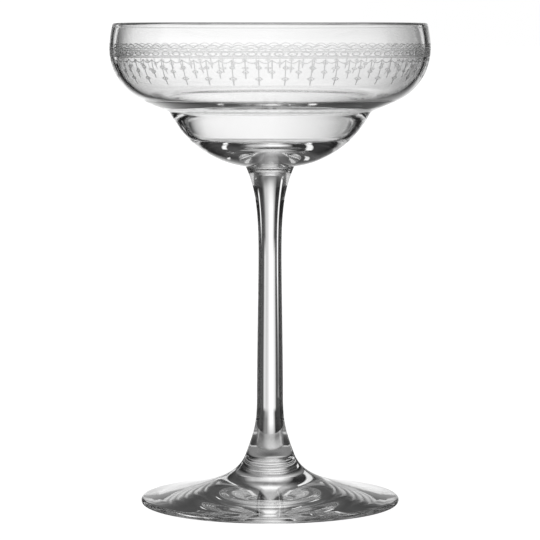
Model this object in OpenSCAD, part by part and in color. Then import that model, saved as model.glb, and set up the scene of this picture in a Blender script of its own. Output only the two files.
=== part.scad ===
// Stemmed cocktail glass with a stepped bowl, a drawn stem and a round foot.
// It is three gathers of clear glass fused at two flat welds: bowl on stem, and stem on foot.
// The axis of the glass is Z, and the foot rests on the plane Z = 0.

/* [Overall] */
// Height of the whole glass
total_h = 150; // [130:1:170]
// Height of the bowl, from its weld on the stem up to the rim
bowl_h = 44.5; // [41:0.5:50]
// Height of the foot's boss, from the table up to its weld under the stem
foot_h = 15.5; // [12:0.5:22]

/* [Bowl outside] */
// Greatest outside diameter, at the belly
bowl_d = 99.5; // [84:0.5:116]
// How far the rim stands in from the belly
rim_inset = 0.85; // [0.4:0.05:4]
// Drop from the rim down to the greatest diameter
belly_drop = 8; // [4:0.5:12]
// Radius of the curve that turns the belly in under the saucer
belly_r = 17.6; // [12:0.2:19]
// Slope of the saucer's underside above level
underside_deg = 23; // [16:1:30]
// Width of the saucer, from the belly in to the crease where it steps down into the cup
saucer_w = 18.5; // [16:0.5:24]
// Radius of the cup's outer curve
cup_r = 30.4; // [26:0.2:40]
// Reach of the soft corner on each side of the crease
crease_reach = 1; // [0.4:0.1:2]

/* [Bowl inside] */
// Thickness of the lip
lip_t = 1.9; // [1.4:0.1:2.4]
// Thickness of the wall at the belly, from which it thickens down to the ledge
wall_t = 1.8; // [1.5:0.1:2.6]
// Slope of the saucer's inside above level
inside_deg = 13.5; // [12:0.5:20]
// How far the ledge between saucer and cup stands in from the crease outside
ledge_in = 1.8; // [1:0.05:4]
// Rounding of the ledge
ledge_round = 10.2; // [6:0.1:12]
// Slope of the cup's inner wall above level, where it leaves the ledge
cup_wall_deg = 61; // [54:0.5:66]
// Thickness of the glass between the cup's floor and the weld
floor_t = 6.5; // [4.5:0.1:8]

/* [Stem] */
// Diameter of the stem's head, at its weld under the bowl
head_d = 15.2; // [12:0.2:18]
// Diameter of the stem's waist, its narrowest place
waist_d = 7.24; // [6:0.02:9]
// Drop from the bowl's weld down to the waist
waist_drop = 27.5; // [20:0.5:36]
// Diameter of the stem's ankle, where it begins to flare out to the foot
ankle_d = 8.2; // [7:0.1:10]
// Height of the ankle above the foot's weld
ankle_rise = 17.5; // [12:0.5:24]

/* [Foot] */
// Diameter of the foot
foot_d = 80.8; // [70:0.2:90]
// Thickness of the foot's rounded edge
edge_t = 1.9; // [1.4:0.1:3]
// Diameter of the weld between stem and foot
boss_d = 15; // [12:0.2:18]
// Slope of the flare above level where it crosses the weld
boss_deg = 70; // [60:1:76]
// Slope of the foot's top above level where it reaches the edge
spread_deg = 10; // [6:1:14]
// Width of the flat ring that the foot rests on
ring_w = 4.5; // [3:0.5:8]
// Height of the shallow hollow under the middle of the foot
hollow_h = 1.5; // [0.5:0.1:2.5]

/* [Hidden] */
$fn = 180;
glass_colour = [0.86, 0.88, 0.89, 0.55];

// Steps along each curve of an outline
curve_steps = 14;
// Steps round the half circles of the lip and the foot's edge
edge_steps = 10;

// Handles of the drawn curves, as shares of the height or width that each curve spans
head_handle_share = 0.26;
head_lean_share = 0.46;
waist_handle_share = 0.47;
shaft_top_share = 0.22;
shaft_foot_share = 0.33;
ankle_handle_share = 0.48;
boss_up_share = 0.34;
boss_down_share = 0.54;
spread_handle_share = 0.64;
floor_handle_share = 0.97;
wall_handle_share = 0.92;

// Heights of the welds
bowl_weld_z = total_h - bowl_h;
foot_weld_z = foot_h;

// Rim and belly
bowl_r = bowl_d / 2;
rim_r = bowl_r - rim_inset;
lip_r = lip_t / 2;
lip_z = total_h - lip_r;
belly_z = total_h - belly_drop;
belly_centre = [bowl_r - belly_r, belly_z];

// The saucer's underside runs on from the belly's curve to the crease
belly_end = belly_centre + belly_r * [sin(underside_deg), -cos(underside_deg)];
step_r = bowl_r - saucer_w;
step = [step_r, belly_end[1] - (belly_end[0] - step_r) * tan(underside_deg)];
weld_edge = [head_d / 2, bowl_weld_z];

// Inside of the saucer, down to the ledge's corner, and the corner where the cup's wall aims at its floor
inner_belly_r = belly_r - wall_t;
inner_end = belly_centre + inner_belly_r * [sin(inside_deg), -cos(inside_deg)];
ledge_r = step_r - ledge_in;
ledge_corner = [ledge_r, inner_end[1] - (inner_end[0] - ledge_r) * tan(inside_deg)];
floor_z = bowl_weld_z + floor_t;
floor_corner = [ledge_r - (ledge_corner[1] - floor_z) / tan(cup_wall_deg), floor_z];

// Stem
waist = [waist_d / 2, bowl_weld_z - waist_drop];
ankle = [ankle_d / 2, foot_weld_z + ankle_rise];

// Foot
edge_r = edge_t / 2;
edge_centre = [foot_d / 2 - edge_r, edge_r];
boss_edge = [boss_d / 2, foot_weld_z];
edge_top = edge_centre + edge_r * [sin(spread_deg), cos(spread_deg)];
ring_inner_r = edge_centre[0] - ring_w;
hollow_r = (ring_inner_r * ring_inner_r + hollow_h * hollow_h) / (2 * hollow_h);

// Unit vector along v
function unit(v) = v / norm(v);

// Points of an arc about c from angle a to angle b
function arc(c, r, a, b, steps = curve_steps) =
    [for (i = [0 : steps]) let (t = a + (b - a) * i / steps) c + r * [cos(t), sin(t)]];

// Points of a cubic curve from p to s with handles at q and r
function drawn(p, q, r, s, steps = curve_steps) =
    [for (i = [0 : steps]) let (t = i / steps, u = 1 - t)
        u * u * u * p + 3 * u * u * t * q + 3 * u * t * t * r + t * t * t * s];

// Points that soften the corner q between p and r
function soft(p, q, r, steps = edge_steps) =
    [for (i = [0 : steps]) let (t = i / steps, u = 1 - t) u * u * p + 2 * u * t * q + t * t * r];

// Fillet of radius f at the corner q, between the lines to p and to r, and within their lengths
function fillet(p, q, r, f, steps = curve_steps) =
    let (
        a = unit(p - q),
        b = unit(r - q),
        half = acos(a * b) / 2,
        reach = min(f / tan(half), norm(p - q), norm(r - q)),
        radius = reach * tan(half),
        c = q + unit(a + b) * radius / sin(half),
        from = q + a * reach - c,
        to = q + b * reach - c,
        start = atan2(from[1], from[0]),
        turn = (atan2(to[1], to[0]) - start + 540) % 360 - 180
    )
    arc(c, radius, start, start + turn, steps);

// Arc that bulges outwards from (r0, z0) up to the belly, where it stands upright at (r1, z1)
function side_arc(r0, z0, r1, z1) =
    let (
        rise = z0 - z1,
        bulge = r1 - r0,
        radius = (rise * rise + bulge * bulge) / (2 * bulge)
    )
    arc([r1 - radius, z1], radius, asin(rise / radius), 0);

// The same points in the opposite order
function back(points) = [for (i = [len(points) - 1 : -1 : 0]) points[i]];

// Centre of the arc of radius f through p and q, on the side of the axis
function arc_centre(p, q, f) =
    let (half = (q - p) / 2, off = sqrt(f * f - half * half), along = unit(half))
    p + half + off * [along[1], -along[0]];

// Cup's outer curve, from the crease down to the weld
cup_centre = arc_centre(step, weld_edge, cup_r);
cup_start_deg = atan2(step[1] - cup_centre[1], step[0] - cup_centre[0]);
cup_end_deg = atan2(weld_edge[1] - cup_centre[1], weld_edge[0] - cup_centre[0]);
crease_deg = crease_reach / cup_r * 180 / PI;
crease_up = step + crease_reach * [cos(underside_deg), sin(underside_deg)];
crease_down = cup_centre + cup_r * [cos(cup_start_deg - crease_deg), sin(cup_start_deg - crease_deg)];

function bowl_outside() = concat(
    side_arc(rim_r, lip_z, bowl_r, belly_z),
    arc(belly_centre, belly_r, 0, underside_deg - 90),
    soft(crease_up, step, crease_down),
    arc(cup_centre, cup_r, cup_start_deg - crease_deg, cup_end_deg)
);

// The cup's inside is one curve, level at the axis and rising into the ledge's rounding
function bowl_inside() =
    let (ledge = fillet(floor_corner, ledge_corner, inner_end, ledge_round))
    concat(
        drawn(
            [0, floor_z],
            [floor_corner[0] * floor_handle_share, floor_z],
            ledge[0] + (floor_corner - ledge[0]) * wall_handle_share,
            ledge[0],
            2 * curve_steps
        ),
        ledge,
        arc(belly_centre, inner_belly_r, inside_deg - 90, 0),
        back(side_arc(rim_r - lip_t, lip_z, bowl_r - wall_t, belly_z))
    );

function lip() = arc([rim_r - lip_r, lip_z], lip_r, 180, 0, edge_steps);

function stem_side() = concat(
    drawn(
        weld_edge,
        weld_edge - waist_drop * head_handle_share * [head_lean_share, 1],
        waist + [0, waist_drop * waist_handle_share],
        waist
    ),
    drawn(
        waist,
        waist - [0, (waist[1] - ankle[1]) * shaft_top_share],
        ankle + [0, (waist[1] - ankle[1]) * shaft_foot_share],
        ankle
    ),
    drawn(
        ankle,
        ankle - [0, ankle_rise * ankle_handle_share],
        boss_edge + ankle_rise * boss_up_share * [-1 / tan(boss_deg), 1],
        boss_edge
    )
);

function foot_top() = drawn(
    boss_edge,
    boss_edge + (foot_weld_z - edge_top[1]) * boss_down_share * [1 / tan(boss_deg), -1],
    edge_top + (edge_top[0] - boss_edge[0]) * spread_handle_share * [-1, tan(spread_deg)],
    edge_top,
    2 * curve_steps
);

module bowl() {
    color(glass_colour)
        rotate_extrude()
            polygon(concat(
                [[0, bowl_weld_z]],
                bowl_inside(),
                lip(),
                bowl_outside()
            ));
}

module stem() {
    color(glass_colour)
        rotate_extrude()
            polygon(concat(
                [[0, foot_weld_z], [0, bowl_weld_z]],
                stem_side()
            ));
}

module foot() {
    color(glass_colour)
        rotate_extrude()
            polygon(concat(
                [[0, hollow_h], [0, foot_weld_z]],
                foot_top(),
                arc(edge_centre, edge_r, 90 - spread_deg, -90, edge_steps),
                arc([0, hollow_h - hollow_r], hollow_r, acos(ring_inner_r / hollow_r), 90)
            ));
}

bowl();
stem();
foot();
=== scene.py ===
# Looks of a stemmed cocktail glass: its bowl, stem and foot in clear glass, on a pale studio floor
import math
from typing import NamedTuple

import bmesh
import bpy
from bpy.props import FloatProperty, FloatVectorProperty, IntProperty, PointerProperty
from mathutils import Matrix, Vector


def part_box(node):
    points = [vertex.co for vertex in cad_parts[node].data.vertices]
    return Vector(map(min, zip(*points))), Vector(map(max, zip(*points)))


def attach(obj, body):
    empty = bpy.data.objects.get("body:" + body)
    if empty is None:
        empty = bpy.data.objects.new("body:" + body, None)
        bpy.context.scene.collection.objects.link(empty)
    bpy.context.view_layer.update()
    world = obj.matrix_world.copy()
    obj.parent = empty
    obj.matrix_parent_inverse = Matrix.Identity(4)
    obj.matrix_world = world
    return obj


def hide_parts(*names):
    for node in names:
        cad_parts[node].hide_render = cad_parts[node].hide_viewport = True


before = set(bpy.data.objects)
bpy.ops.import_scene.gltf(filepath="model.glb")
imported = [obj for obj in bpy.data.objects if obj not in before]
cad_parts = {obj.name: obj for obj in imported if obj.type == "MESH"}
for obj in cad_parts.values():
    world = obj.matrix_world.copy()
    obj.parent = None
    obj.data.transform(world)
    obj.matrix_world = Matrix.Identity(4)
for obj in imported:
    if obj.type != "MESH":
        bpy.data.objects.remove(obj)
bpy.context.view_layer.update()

bl_info = {
    "name": "Stepped cocktail glass",
    "version": (1, 0, 0),
    "blender": (4, 5, 0),
    "location": "3D View > Sidebar > Glass",
    "description": "Models and lights a stemmed cocktail glass with an etched border",
    "category": "Object",
}

BOWL_LOW, BOWL_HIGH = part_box("bowl")
STEM_LOW, STEM_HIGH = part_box("stem")
FOOT_LOW, FOOT_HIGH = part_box("foot")
BODY = "root"

# Points closer than this are one point, and vertices this near to a weld's height belong to it
SAME_PLACE = 0.000001
WELD_REACH = 0.00003

# Places of a piece's materials after its clear glass
SEAM = 1
ETCHED = 2

# Places of a colour mix node's sockets
MIX_FROM = 6
MIX_TO = 7
MIX_RESULT = 2

# How often light may pass or bounce between walls of glass
PASSES = 32
BOUNCES = 16


def number(name, description, default, **kind):
    return FloatProperty(name=name, description=description, default=default, **kind)


def length(name, description, default):
    return number(name, description, default, unit="LENGTH", subtype="DISTANCE")


def angle(name, description, degrees):
    return number(name, description, math.radians(degrees), subtype="ANGLE")


def share(name, description, default):
    return number(name, description, default, min=0.0, max=1.0, subtype="FACTOR")


def count(name, description, default, least):
    return IntProperty(name=name, description=description, default=default, min=least)


def colour(name, description, default):
    return FloatVectorProperty(
        name=name, description=description, default=default, size=3, subtype="COLOR")


class BowlSizes(bpy.types.PropertyGroup):
    belly_d: length("Belly", "Greatest outside diameter", 2 * BOWL_HIGH.x)
    rim_inset: length("Rim inset", "How far the rim stands in from the belly", 0.00085)
    belly_drop: length("Belly drop", "Drop from the rim down to the belly", 0.008)
    belly_r: length("Belly curve", "Radius of the curve that turns the belly inwards", 0.0176)
    underside: angle("Underside", "Slope of the saucer's underside above level", 23)
    saucer_w: length("Saucer width", "From the belly in to the crease above the cup", 0.0185)
    cup_r: length("Cup curve", "Radius of the cup's outer curve", 0.0304)
    crease_reach: length("Crease reach", "Reach of the soft corner each side of the crease", 0.001)
    lip_t: length("Lip", "Thickness of the lip", 0.0019)
    wall_t: length("Wall", "Thickness at the belly, above the thicker ledge", 0.0018)
    inside: angle("Inside", "Slope of the saucer's inside above level", 13.5)
    ledge_in: length("Ledge", "How far the inner ledge stands in from the crease", 0.0018)
    ledge_round: length("Ledge rounding", "Rounding of the ledge", 0.0102)
    cup_wall: angle("Cup wall", "Slope of the cup's inner wall where it leaves the ledge", 61)
    floor_t: length("Floor", "Thickness of the glass under the cup's floor", 0.0065)
    floor_handle: share("Floor handle", "Length of the inner curve's handle along the floor", 0.97)
    wall_handle: share("Wall handle", "Length of the inner curve's handle down the wall", 0.92)


class StemSizes(bpy.types.PropertyGroup):
    head_d: length("Head", "Diameter at the weld under the bowl", 0.0152)
    waist_d: length("Waist", "Diameter at the narrowest place", 0.00724)
    waist_drop: length("Waist drop", "Drop from the bowl's weld to the waist", 0.0275)
    ankle_d: length("Ankle", "Diameter where the stem begins to flare", 0.0082)
    ankle_rise: length("Ankle rise", "Height of the ankle above the foot's weld", 0.0175)
    head_handle: share("Head handle", "Length of the curve's handle at the head", 0.26)
    head_lean: share("Head lean", "How far that handle leans inwards", 0.46)
    waist_handle: share("Waist handle", "Length of the curve's handle above the waist", 0.47)
    shaft_top: share("Shaft top handle", "Length of the curve's handle below the waist", 0.22)
    shaft_foot: share("Shaft foot handle", "Length of the curve's handle above the ankle", 0.33)
    ankle_handle: share("Ankle handle", "Length of the curve's handle below the ankle", 0.48)
    boss_up: share("Boss handle", "Length of the curve's handle above the foot's weld", 0.34)
    weld_gap: length("Weld gap", "Gap that parts a weld's faces, so light meets each once", 0.00002)


class FootSizes(bpy.types.PropertyGroup):
    foot_d: length("Foot", "Diameter of the foot", 2 * FOOT_HIGH.x)
    edge_t: length("Edge", "Thickness of the foot's rounded edge", 0.0019)
    boss_d: length("Boss", "Diameter of the weld between stem and foot", 0.015)
    boss_slope: angle("Boss slope", "Slope of the flare above level where it crosses the weld", 70)
    spread: angle("Spread", "Slope of the foot's top above level where it reaches the edge", 10)
    ring_w: length("Ring", "Width of the flat ring that the foot rests on", 0.0045)
    hollow_h: length("Hollow", "Height of the shallow hollow under the foot", 0.0015)
    boss_down: share("Boss handle", "Length of the curve's handle below the weld", 0.54)
    spread_handle: share("Spread handle", "Length of the curve's handle in from the edge", 0.64)


class MeshFineness(bpy.types.PropertyGroup):
    turns: count("Turns", "Faces round the axis of each piece", 240, 48)
    spacing: length("Spacing", "Distance between rings of a gentle curve", 0.0006)
    tight_spacing: length("Tight spacing", "Distance between rings of a tight curve", 0.00015)


class EtchedBorder(bpy.types.PropertyGroup):
    repeats: count("Repeats", "Long pendants round the bowl", 39, 8)
    turn: angle("Turn", "Place of a long pendant, from the front towards the right", -3.9)
    line_w: length("Line", "Width of an etched line", 0.00026)
    blur: length("Blur", "Width over which an etched line fades out", 0.00008)
    arch_drop: length("Arches", "Drop from the rim to the feet of the row of arches", 0.0073)
    arch_rise: length("Arch rise", "Height of an arch", 0.0009)
    twist_sag: length("Twist sag", "Sag of the row that crosses the arches' feet", 0.00045)
    upper_rail: length("Upper rail", "Drop from the rim to the line above the ovals", 0.0082)
    lower_rail: length("Lower rail", "Drop from the rim to the line below the ovals", 0.0098)
    rail_gap: length("Rail gap", "Gap of the double line below the ovals", 0.0004)
    oval_w: length("Oval", "Half the width of an oval", 0.0013)
    oval_h: length("Oval height", "Half the height of an oval", 0.00055)
    swag_drop: length("Swags", "Drop from the rim to the points that the swags hang from", 0.0108)
    swag_sag: length("Swag sag", "Sag of a swag", 0.0009)
    bead_drop: length("Beads", "Drop from the rim to the bead on a long pendant", 0.01305)
    bead_w: length("Bead", "Half the width of that bead", 0.00065)
    bead_h: length("Bead height", "Half the height of that bead", 0.0004)
    short_drop: length("Short pendant", "Drop from the rim to the eye of a short pendant", 0.01433)
    short_w: length("Short eye", "Half the width of that eye", 0.0009)
    long_drop: length("Long pendant", "Drop from the rim to the eye of a long pendant", 0.01635)
    long_w: length("Long eye", "Half the width of that eye", 0.0011)
    eye_h: length("Eye height", "Half the height of an eye", 0.0004)
    tail: length("Tail", "Length of the tail below an eye", 0.0018)
    frost: share("Frost", "Roughness of the etched glass", 0.4)
    veil: share("Veil", "Frost between the lines of the lace", 0.05)
    shade: share("Shade", "How much light an etched line lets through", 0.78)
    depth: length("Depth", "Depth of an etched line", 0.00003)
    margin: length("Margin", "Plain glass above and below the lace, in its material", 0.0009)


class GlassFinish(bpy.types.PropertyGroup):
    ior: number("Refraction", "Index of refraction of the glass", 1.52)
    tint: colour("Tint", "Colour that each passage leaves", (0.995, 0.995, 0.995))
    seam_tint: colour("Weld tint", "Colour of the fused seams", (0.95, 0.95, 0.95))
    ripple: length("Ripple", "Height of the faint waves of hand-worked glass", 0.00003)
    ripple_run: length("Ripple run", "Distance from one wave to the next", 0.014)


class Screen(NamedTuple):
    """A light or dark screen with soft edges, placed in degrees as seen from the glass."""

    name: str
    turn: float
    half_w: float
    soft_w: float
    rise: float
    half_h: float
    soft_h: float
    light: float


# Turns run from straight behind the glass towards its right, and rises from level upwards.
# A later screen covers an earlier one.
SCREENS = (
    Screen("ceiling glow", 9, 36, 15, 62, 36, 19, 0.5),
    Screen("table glow", -15, 26, 12, -58, 8, 30, 0.78),
    Screen("rear glow", 180, 95, 20, -6, 16, 10, 0.78),
    Screen("left screen", -44.5, 31.5, 4, -7, 32, 20, 0.01),
    Screen("right screen", 51, 33, 8, 12, 52, 16, 0.02),
    Screen("low light", 1.5, 19.5, 5, -7.8, 3.8, 2, 0.78),
    Screen("backdrop glow", 4, 10.5, 6, 1.5, 14, 8, 0.6),
    Screen("backlight", -3.5, 8, 9, -8, 21, 20, 1.1),
    Screen("upper light", 0, 11, 4, 41, 7, 9, 1.1),
    Screen("left strip", -30, 3, 2, 8, 15, 2, 1.1),
    Screen("right strip", 36, 2.5, 2, 6, 8, 4, 1.2),
)

# Brightness of the room behind the screens, by rise in degrees
ROOM = ((-90, 0.09), (-60, 0.25), (-30, 0.26), (0, 0.2), (30, 0.05), (60, 0.09), (90, 0.26))


class StudioSizes(bpy.types.PropertyGroup):
    distance: length("Distance", "Level distance of the camera from the glass", 0.9)
    height: length("Height", "Height of the camera above the floor", 0.15314)
    pitch: angle("Pitch", "How far the camera looks down", 5.0816)
    lens: number("Lens", "Focal length in millimetres", 193.04)
    sensor_w: number("Sensor", "Width of the camera's sensor in millimetres", 36)
    floor_reach: length("Floor", "Half the width of the floor", 12.0)
    floor_gap: length("Floor gap", "Gap between the floor and the resting glass", 0.00002)


# Points of outlines, in the plane of radius and height


def steps_for(run, spacing):
    return max(2, math.ceil(run / spacing))


def polar(centre, radius, turn):
    return centre + radius * Vector((math.cos(turn), math.sin(turn)))


def arc(centre, radius, start, end, spacing):
    steps = steps_for(abs(end - start) * radius, spacing)
    return [polar(centre, radius, start + (end - start) * i / steps) for i in range(steps + 1)]


def line(start, end, spacing):
    steps = steps_for((end - start).length, spacing)
    return [start.lerp(end, i / steps) for i in range(steps + 1)]


def drawn(start, start_handle, end_handle, end, spacing):
    steps = steps_for((end - start).length, spacing)
    points = []
    for i in range(steps + 1):
        t = i / steps
        u = 1 - t
        near_start = u**3 * start + 3 * u * u * t * start_handle
        points.append(near_start + 3 * u * t * t * end_handle + t**3 * end)
    return points


def soft(start, corner, end, spacing):
    steps = steps_for((corner - start).length + (end - corner).length, spacing)
    points = []
    for i in range(steps + 1):
        t = i / steps
        points.append(start.lerp(corner, t).lerp(corner.lerp(end, t), t))
    return points


def fillet(before, corner, after, radius, spacing):
    to_before = (before - corner).normalized()
    to_after = (after - corner).normalized()
    half = to_before.angle(to_after) / 2
    centre = corner + (to_before + to_after).normalized() * radius / math.sin(half)
    start = corner + to_before * radius / math.tan(half) - centre
    end = corner + to_after * radius / math.tan(half) - centre
    start_turn = math.atan2(start.y, start.x)
    turn = (math.atan2(end.y, end.x) - start_turn + 3 * math.pi) % (2 * math.pi) - math.pi
    return arc(centre, radius, start_turn, start_turn + turn, spacing)


def side_arc(top, belly, spacing):
    rise = top.y - belly.y
    bulge = belly.x - top.x
    radius = (rise * rise + bulge * bulge) / (2 * bulge)
    return arc(Vector((belly.x - radius, belly.y)), radius, math.asin(rise / radius), 0, spacing)


def arc_centre(start, end, radius):
    half = (end - start) / 2
    along = half.normalized()
    off = math.sqrt(radius * radius - half.length_squared)
    return start + half + off * Vector((along.y, -along.x))


def joined(*runs):
    points = []
    for run in runs:
        for point in run:
            if not points or (point - points[-1]).length > SAME_PLACE:
                points.append(point)
    return points


def bowl_outline(bowl, stem, fine):
    weld_z = BOWL_LOW.z
    top_z = BOWL_HIGH.z
    belly_x = bowl.belly_d / 2
    lip_r = bowl.lip_t / 2
    lip_z = top_z - lip_r
    rim_x = belly_x - bowl.rim_inset
    belly_z = top_z - bowl.belly_drop
    belly_centre = Vector((belly_x - bowl.belly_r, belly_z))
    turned_in = bowl.underside - math.pi / 2
    belly_end = polar(belly_centre, bowl.belly_r, turned_in)
    step_x = belly_x - bowl.saucer_w
    crease = Vector((step_x, belly_end.y - (belly_end.x - step_x) * math.tan(bowl.underside)))
    weld_edge = Vector((stem.head_d / 2, weld_z))
    cup_centre = arc_centre(crease, weld_edge, bowl.cup_r)
    cup_start = math.atan2(crease.y - cup_centre.y, crease.x - cup_centre.x)
    cup_end = math.atan2(weld_edge.y - cup_centre.y, weld_edge.x - cup_centre.x)
    crease_turn = bowl.crease_reach / bowl.cup_r
    crease_up = polar(crease, bowl.crease_reach, bowl.underside)
    crease_down = polar(cup_centre, bowl.cup_r, cup_start - crease_turn)

    inner_r = bowl.belly_r - bowl.wall_t
    inner_turn = bowl.inside - math.pi / 2
    inner_end = polar(belly_centre, inner_r, inner_turn)
    ledge_x = step_x - bowl.ledge_in
    ledge = Vector((ledge_x, inner_end.y - (inner_end.x - ledge_x) * math.tan(bowl.inside)))
    floor_z = weld_z + bowl.floor_t
    floor_corner = Vector((ledge_x - (ledge.y - floor_z) / math.tan(bowl.cup_wall), floor_z))
    centre_floor = Vector((0, floor_z))

    near = fine.spacing
    tight = fine.tight_spacing
    ledge_curve = fillet(floor_corner, ledge, inner_end, bowl.ledge_round, near)
    cup_curve = drawn(
        centre_floor,
        centre_floor.lerp(floor_corner, bowl.floor_handle),
        ledge_curve[0].lerp(floor_corner, bowl.wall_handle),
        ledge_curve[0],
        near,
    )
    inner_belly = arc(belly_centre, inner_r, inner_turn, 0, near)
    inner_top = Vector((rim_x - bowl.lip_t, lip_z))
    inner_side = side_arc(inner_top, Vector((belly_x - bowl.wall_t, belly_z)), near)
    return joined(
        cup_curve,
        ledge_curve,
        line(ledge_curve[-1], inner_belly[0], near),
        inner_belly,
        reversed(inner_side),
        arc(Vector((rim_x - lip_r, lip_z)), lip_r, math.pi, 0, tight),
        side_arc(Vector((rim_x, lip_z)), Vector((belly_x, belly_z)), near),
        arc(belly_centre, bowl.belly_r, 0, turned_in, near),
        line(belly_end, crease_up, near),
        soft(crease_up, crease, crease_down, tight),
        arc(cup_centre, bowl.cup_r, cup_start - crease_turn, cup_end, near),
        [weld_edge, Vector((0, weld_z))],
    )


def stem_outline(stem, foot, fine):
    head = Vector((stem.head_d / 2, STEM_HIGH.z - stem.weld_gap))
    waist = Vector((stem.waist_d / 2, STEM_HIGH.z - stem.waist_drop))
    ankle = Vector((stem.ankle_d / 2, STEM_LOW.z + stem.ankle_rise))
    boss = Vector((foot.boss_d / 2, STEM_LOW.z + stem.weld_gap))
    shaft = waist.y - ankle.y
    boss_lean = Vector((-1 / math.tan(foot.boss_slope), 1))
    near = fine.spacing
    return joined(
        [Vector((0, head.y)), head],
        drawn(
            head,
            head - stem.waist_drop * stem.head_handle * Vector((stem.head_lean, 1)),
            waist + Vector((0, stem.waist_drop * stem.waist_handle)),
            waist,
            near,
        ),
        drawn(
            waist,
            waist - Vector((0, shaft * stem.shaft_top)),
            ankle + Vector((0, shaft * stem.shaft_foot)),
            ankle,
            near,
        ),
        drawn(
            ankle,
            ankle - Vector((0, stem.ankle_rise * stem.ankle_handle)),
            boss + stem.ankle_rise * stem.boss_up * boss_lean,
            boss,
            near,
        ),
        [Vector((0, boss.y))],
    )


def foot_outline(foot, fine):
    boss = Vector((foot.boss_d / 2, FOOT_HIGH.z))
    edge_r = foot.edge_t / 2
    edge_centre = Vector((foot.foot_d / 2 - edge_r, edge_r))
    edge_start = math.pi / 2 - foot.spread
    edge_top = polar(edge_centre, edge_r, edge_start)
    drop = foot.boss_down * (boss.y - edge_top.y)
    reach = foot.spread_handle * (edge_top.x - boss.x)
    ring_x = edge_centre.x - foot.ring_w
    hollow_r = (ring_x * ring_x + foot.hollow_h**2) / (2 * foot.hollow_h)
    hollow_centre = Vector((0, foot.hollow_h - hollow_r))
    hollow_start = math.acos(ring_x / hollow_r)
    near = fine.spacing
    return joined(
        [Vector((0, FOOT_HIGH.z)), boss],
        drawn(
            boss,
            boss + drop * Vector((1 / math.tan(foot.boss_slope), -1)),
            edge_top + reach * Vector((-1, math.tan(foot.spread))),
            edge_top,
            near,
        ),
        arc(edge_centre, edge_r, edge_start, -math.pi / 2, fine.tight_spacing),
        arc(hollow_centre, hollow_r, hollow_start, math.pi / 2, near),
    )


# Meshes


def turned_piece(name, outline, node, welds, materials, turns):
    """Spins an outline round the axis and gives the faces at its welds the seam's material."""
    shape = bmesh.new()
    verts = [shape.verts.new((point.x, 0, point.y)) for point in outline]
    edges = [shape.edges.new(pair) for pair in zip(verts, verts[1:])]
    bmesh.ops.spin(
        shape,
        geom=verts + edges,
        cent=(0, 0, 0),
        axis=(0, 0, 1),
        angle=2 * math.pi,
        steps=turns,
        use_merge=True,
    )
    bmesh.ops.remove_doubles(shape, verts=shape.verts, dist=SAME_PLACE)
    bmesh.ops.recalc_face_normals(shape, faces=shape.faces)
    for face in shape.faces:
        face.smooth = True
        if any(all(abs(vert.co.z - weld) < WELD_REACH for vert in face.verts) for weld in welds):
            face.smooth = False
            face.material_index = SEAM
    for edge in shape.edges:
        if len({face.material_index for face in edge.link_faces}) > 1:
            edge.smooth = False
    mesh = bpy.data.meshes.new(name)
    shape.to_mesh(mesh)
    shape.free()
    for material in materials:
        mesh.materials.append(material)
    piece = bpy.data.objects.new(name, mesh)
    bpy.context.scene.collection.objects.link(piece)
    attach(piece, BODY)
    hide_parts(node)
    return piece


# Materials


class Field:
    """A number that changes over a surface: a node's output, with the usual signs of arithmetic."""

    def __init__(self, tree, socket):
        self.tree = tree
        self.socket = socket

    def apply(self, operation, *others, clamp=False):
        node = self.tree.nodes.new("ShaderNodeMath")
        node.operation = operation
        node.use_clamp = clamp
        for socket, value in zip(node.inputs, (self, *others)):
            if isinstance(value, Field):
                self.tree.links.new(value.socket, socket)
            else:
                socket.default_value = value
        return Field(self.tree, node.outputs[0])

    def __add__(self, other):
        return self.apply("ADD", other)

    def __sub__(self, other):
        return self.apply("SUBTRACT", other)

    def __mul__(self, other):
        return self.apply("MULTIPLY", other)

    def __truediv__(self, other):
        return self.apply("DIVIDE", other)

    def __abs__(self):
        return self.apply("ABSOLUTE")

    def flipped(self, whole):
        """What this field leaves of the whole."""
        return (self * -1) + whole

    def least(self, other):
        return self.apply("MINIMUM", other)

    def most(self, other):
        return self.apply("MAXIMUM", other)

    def blend(self, other, cover):
        """This field where the cover is 0, and the other where it is 1."""
        return self + self.flipped(other) * cover

    def graded(self, *stops):
        """A brightness for an angle, read from stops of (degrees, brightness)."""
        low, high = stops[0][0], stops[-1][0]
        ramp = self.tree.nodes.new("ShaderNodeValToRGB")
        place = (self - math.radians(low)) / math.radians(high - low)
        self.tree.links.new(place.socket, ramp.inputs["Fac"])
        elements = ramp.color_ramp.elements
        elements.remove(elements[1])
        elements[0].color = (stops[0][1],) * 3 + (1,)
        for degrees, brightness in stops[1:]:
            elements.new((degrees - low) / (high - low)).color = (brightness,) * 3 + (1,)
        return Field(self.tree, ramp.outputs["Color"])


def place_fields(tree, coordinates):
    """The X, Y and Z of a point in the named coordinates, as three fields."""
    given = tree.nodes.new("ShaderNodeTexCoord")
    split = tree.nodes.new("ShaderNodeSeparateXYZ")
    tree.links.new(given.outputs[coordinates], split.inputs[0])
    return [Field(tree, output) for output in split.outputs]


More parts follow.
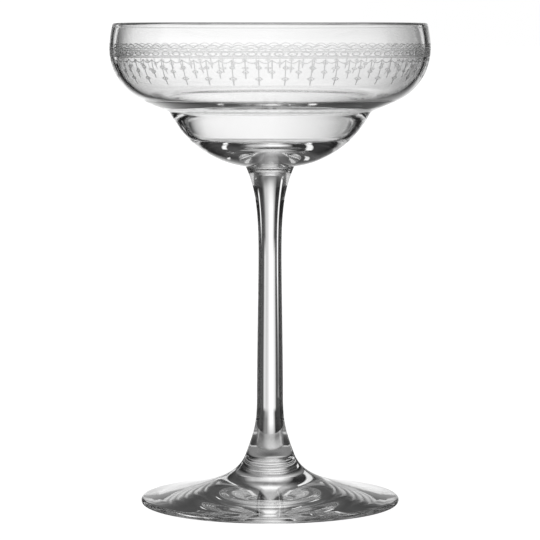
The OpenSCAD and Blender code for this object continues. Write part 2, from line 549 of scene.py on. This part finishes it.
def border_mask(tree, border):
    """Where the border is etched: arches, ovals between rails, swags and two lengths of pendant."""
    x, y, z = place_fields(tree, "Object")
    across = 2 * math.pi * BOWL_HIGH.x / border.repeats
    # Distances along the rim from the nearest pendants, and from the middle between two of them
    turns = x.apply("ARCTAN2", y * -1) - border.turn
    along = turns * (border.repeats / (2 * math.pi)) + 0.5
    along = (along.apply("FRACT") - 0.5) * across
    from_long = abs(along)
    from_short = from_long.flipped(across / 2)
    from_any = from_long.least(from_short)
    from_middle = from_any.flipped(across / 4)
    drop = z.flipped(BOWL_HIGH.z)

    def inked(distance):
        return (distance.flipped(border.line_w / 2) / border.blur).apply("ADD", 0.5, clamp=True)

    def box(sideways, half_w, top, bottom):
        middle = (top + bottom) / 2
        over = abs(drop - middle) - (bottom - top) / 2 + border.line_w / 2
        return inked((sideways - half_w).most(over))

    def ring(sideways, half_w, half_h, centre):
        across_share = sideways / half_w
        down_share = (drop - centre) / half_h
        reach = (across_share * across_share + down_share * down_share).apply("SQRT")
        return abs(reach - 1) * half_h

    def eye(sideways, half_w, centre):
        across_share = sideways / half_w
        down_share = abs(drop - centre) / border.eye_h
        return abs(down_share + across_share * across_share - 1) * border.eye_h

    middle_share = from_middle / (across / 4)
    any_share = from_any / (across / 4)
    bulge = (middle_share * middle_share).flipped(1)
    crossed_bulge = (any_share * any_share).flipped(1)
    arch = abs(drop - border.arch_drop + bulge * border.arch_rise)
    swag = abs(drop - border.swag_drop - bulge * border.swag_sag)
    twist = abs(drop - border.arch_drop - crossed_bulge * border.twist_sag)
    oval_drop = (border.upper_rail + border.lower_rail) / 2
    shapes = [
        inked(arch),
        inked(twist),
        inked(abs(drop - border.upper_rail)),
        inked(abs(drop - border.lower_rail)),
        inked(abs(drop - border.lower_rail - border.rail_gap)),
        inked(ring(from_middle, border.oval_w, border.oval_h, oval_drop)),
        inked(swag),
        inked(ring(from_long, border.bead_w, border.bead_h, border.bead_drop)),
        inked(eye(from_long, border.long_w, border.long_drop)),
        inked(eye(from_short, border.short_w, border.short_drop)),
        box(from_long, 0, border.swag_drop, border.long_drop - border.eye_h),
        box(from_short, 0, border.swag_drop, border.short_drop - border.eye_h),
    ]
    for sideways, centre in ((from_long, border.long_drop), (from_short, border.short_drop)):
        # A tail narrows to a point
        fall = (drop - centre) / border.tail
        width = fall.flipped(1) * (border.line_w / 2)
        over = abs(fall - 0.5) * border.tail - border.tail / 2
        shapes.append(inked((abs(sideways) - width).most(over)))
    mask = shapes[0]
    for shape in shapes[1:]:
        mask = mask.most(shape)
    lace_drop = (border.arch_drop + border.swag_drop) / 2
    lace = inked(abs(drop - lace_drop) - (border.swag_drop - border.arch_drop) / 2)
    return mask.most(lace * border.veil)


def ripple_group():
    """Height of the faint waves of hand-worked glass."""
    group = bpy.data.node_groups.get("ripple")
    if group:
        return group
    group = bpy.data.node_groups.new("ripple", "ShaderNodeTree")
    group.interface.new_socket("Run", in_out="INPUT", socket_type="NodeSocketFloat")
    group.interface.new_socket("Rise", in_out="INPUT", socket_type="NodeSocketFloat")
    group.interface.new_socket("Height", in_out="OUTPUT", socket_type="NodeSocketFloat")
    given = group.nodes.new("NodeGroupInput")
    run = Field(group, given.outputs["Run"])
    rise = Field(group, given.outputs["Rise"])
    coordinates = group.nodes.new("ShaderNodeTexCoord")
    waves = group.nodes.new("ShaderNodeTexNoise")
    waves.inputs["Detail"].default_value = 1
    group.links.new(coordinates.outputs["Object"], waves.inputs["Vector"])
    group.links.new(run.apply("POWER", -1).socket, waves.inputs["Scale"])
    height = Field(group, waves.outputs["Fac"]) * rise
    group.links.new(height.socket, group.nodes.new("NodeGroupOutput").inputs["Height"])
    return group


def shaded_material(name, values):
    """A new material, with the given values on its shader's sockets."""
    material = bpy.data.materials.new(name)
    material.use_nodes = True
    shader = material.node_tree.nodes["Principled BSDF"]
    for socket, value in values.items():
        shader.inputs[socket].default_value = value
    return material


def clear_values(tint, ior):
    """Values of a shader that lets light through, bends it by ior and tints it."""
    return {
        "Base Color": (*tint, 1),
        "Roughness": 0,
        "IOR": ior,
        "Transmission Weight": 1,
    }


def glass_material(name, finish, border=None):
    """Clear glass with a faint ripple, and with the etched border where one is given."""
    material = bpy.data.materials.get(name)
    if material:
        return material
    material = shaded_material(name, clear_values(finish.tint, finish.ior))
    tree = material.node_tree
    shader = tree.nodes["Principled BSDF"]
    ripple = tree.nodes.new("ShaderNodeGroup")
    ripple.node_tree = ripple_group()
    ripple.inputs["Run"].default_value = finish.ripple_run
    ripple.inputs["Rise"].default_value = finish.ripple
    height = Field(tree, ripple.outputs["Height"])
    if border:
        mask = border_mask(tree, border)
        mix = tree.nodes.new("ShaderNodeMix")
        mix.data_type = "RGBA"
        tree.links.new(mask.socket, mix.inputs["Factor"])
        mix.inputs[MIX_FROM].default_value = (*finish.tint, 1)
        mix.inputs[MIX_TO].default_value = (*(part * border.shade for part in finish.tint), 1)
        tree.links.new(mix.outputs[MIX_RESULT], shader.inputs["Base Color"])
        tree.links.new((mask * border.frost).socket, shader.inputs["Roughness"])
        height = height - mask * border.depth
    bump = tree.nodes.new("ShaderNodeBump")
    bump.inputs["Distance"].default_value = 1
    tree.links.new(height.socket, bump.inputs["Height"])
    tree.links.new(bump.outputs["Normal"], shader.inputs["Normal"])
    return material


def seam_material(finish):
    """The fused seam between two gathers, which bends no light and takes a little of it."""
    name = "fused seam"
    return bpy.data.materials.get(name) or shaded_material(name, clear_values(finish.seam_tint, 1))


def plain_materials(finish):
    """Clear glass for the piece and the seam's material for its weld faces."""
    return [glass_material("clear glass", finish), seam_material(finish)]


def floor_material():
    """A floor that gives out an even white, with no shade of its own."""
    return shaded_material("pale floor", {
        "Base Color": (0, 0, 0, 1),
        "Emission Color": (1, 1, 1, 1),
        "Emission Strength": 1,
    })


# Studio


def studio_light(tree):
    """Light of a grey room with bright and dark screens round the glass."""
    x, y, z = place_fields(tree, "Generated")
    rise = z.apply("ARCSINE")
    turn = x.apply("ARCTAN2", y)

    def within(distance, half, softness):
        """1 within half of a screen's width or height, 0 outside it, with a soft edge between."""
        inside = distance.flipped(math.radians(half)) / math.radians(softness)
        return inside.apply("ADD", 0.5, clamp=True)

    light = rise.graded(*ROOM)
    for screen in SCREENS:
        sideways = abs((turn - math.radians(screen.turn)).apply("WRAP", math.pi, -math.pi))
        upwards = abs(rise - math.radians(screen.rise))
        cover_w = within(sideways, screen.half_w, screen.soft_w)
        cover_h = within(upwards, screen.half_h, screen.soft_h)
        light = light.blend(screen.light, cover_w * cover_h)
        light.socket.node.label = screen.name
    return light


def place_camera(scene, studio):
    camera_data = bpy.data.cameras.new("camera")
    camera_data.lens = studio.lens
    camera_data.sensor_width = studio.sensor_w
    camera = bpy.data.objects.new("camera", camera_data)
    camera.location = (0, -studio.distance, studio.height)
    camera.rotation_euler = (math.pi / 2 - studio.pitch, 0, 0)
    scene.collection.objects.link(camera)
    scene.camera = camera


def light_world(scene):
    """Lights the glass from the studio, and shows the camera plain white behind it."""
    world = bpy.data.worlds.new("studio")
    world.use_nodes = True
    scene.world = world
    tree = world.node_tree
    path = tree.nodes.new("ShaderNodeLightPath")
    seen = Field(tree, path.outputs["Is Camera Ray"])
    light = studio_light(tree).most(seen)
    tree.links.new(light.socket, tree.nodes["Background"].inputs["Color"])


def lay_floor(scene, studio):
    """Lays a floor that the glass doesn't mirror or bend, for its light is the studio's alone."""
    shape = bmesh.new()
    bmesh.ops.create_grid(shape, x_segments=1, y_segments=1, size=studio.floor_reach)
    mesh = bpy.data.meshes.new("floor")
    shape.to_mesh(mesh)
    shape.free()
    mesh.materials.append(floor_material())
    floor = bpy.data.objects.new("floor", mesh)
    floor.location = (0, 0, -studio.floor_gap)
    floor.visible_glossy = False
    floor.visible_transmission = False
    floor.visible_shadow = False
    scene.collection.objects.link(floor)


# Operators


class GLASS_OT_bowl(bpy.types.Operator):
    """Model the stepped bowl with its etched border"""

    bl_idname = "glass.bowl"
    bl_label = "Bowl"

    def execute(self, context):
        scene = context.scene
        finish = scene.glass_finish
        fine = scene.glass_fineness
        border = scene.glass_border
        outline = bowl_outline(scene.glass_bowl, scene.glass_stem, fine)
        materials = plain_materials(finish) + [glass_material("etched glass", finish, border)]
        piece = turned_piece("bowl_glass", outline, "bowl", [BOWL_LOW.z], materials, fine.turns)
        border_top = BOWL_HIGH.z - border.arch_drop + border.arch_rise + border.margin
        border_foot = BOWL_HIGH.z - border.long_drop - border.tail - border.margin
        for face in piece.data.polygons:
            outwards = face.normal.x * face.center.x + face.normal.y * face.center.y > 0
            if outwards and border_foot < face.center.z < border_top:
                face.material_index = ETCHED
        return {"FINISHED"}


class GLASS_OT_stem(bpy.types.Operator):
    """Model the drawn stem"""

    bl_idname = "glass.stem"
    bl_label = "Stem"

    def execute(self, context):
        scene = context.scene
        fine = scene.glass_fineness
        outline = stem_outline(scene.glass_stem, scene.glass_foot, fine)
        materials = plain_materials(scene.glass_finish)
        welds = [STEM_LOW.z, STEM_HIGH.z]
        turned_piece("stem_glass", outline, "stem", welds, materials, fine.turns)
        return {"FINISHED"}


class GLASS_OT_foot(bpy.types.Operator):
    """Model the round foot"""

    bl_idname = "glass.foot"
    bl_label = "Foot"

    def execute(self, context):
        scene = context.scene
        fine = scene.glass_fineness
        outline = foot_outline(scene.glass_foot, fine)
        materials = plain_materials(scene.glass_finish)
        turned_piece("foot_glass", outline, "foot", [FOOT_HIGH.z], materials, fine.turns)
        return {"FINISHED"}


class GLASS_OT_stage(bpy.types.Operator):
    """Set the floor, the studio's surroundings and the camera"""

    bl_idname = "glass.stage"
    bl_label = "Stage"

    def execute(self, context):
        scene = context.scene
        scene.view_settings.view_transform = "Standard"
        scene.cycles.max_bounces = PASSES
        scene.cycles.transmission_bounces = PASSES
        scene.cycles.glossy_bounces = BOUNCES
        place_camera(scene, scene.glass_studio)
        light_world(scene)
        lay_floor(scene, scene.glass_studio)
        return {"FINISHED"}


class GLASS_PT_pieces(bpy.types.Panel):
    """Lists the pieces of the glass"""

    bl_idname = "GLASS_PT_pieces"
    bl_label = "Cocktail glass"
    bl_space_type = "VIEW_3D"
    bl_region_type = "UI"
    bl_category = "Glass"

    def draw(self, context):
        for operator in OPERATORS:
            self.layout.operator(operator.bl_idname)


GROUPS = {
    "glass_bowl": BowlSizes,
    "glass_stem": StemSizes,
    "glass_foot": FootSizes,
    "glass_fineness": MeshFineness,
    "glass_border": EtchedBorder,
    "glass_finish": GlassFinish,
    "glass_studio": StudioSizes,
}
OPERATORS = (GLASS_OT_bowl, GLASS_OT_stem, GLASS_OT_foot, GLASS_OT_stage)
CLASSES = (*GROUPS.values(), *OPERATORS, GLASS_PT_pieces)


def register():
    for item in CLASSES:
        bpy.utils.register_class(item)
    for name, group in GROUPS.items():
        setattr(bpy.types.Scene, name, PointerProperty(type=group))


def unregister():
    for name in GROUPS:
        delattr(bpy.types.Scene, name)
    for item in reversed(CLASSES):
        bpy.utils.unregister_class(item)


def main():
    register()
    bpy.ops.glass.bowl()
    bpy.ops.glass.stem()
    bpy.ops.glass.foot()
    bpy.ops.glass.stage()


if __name__ == "__main__":
    main()
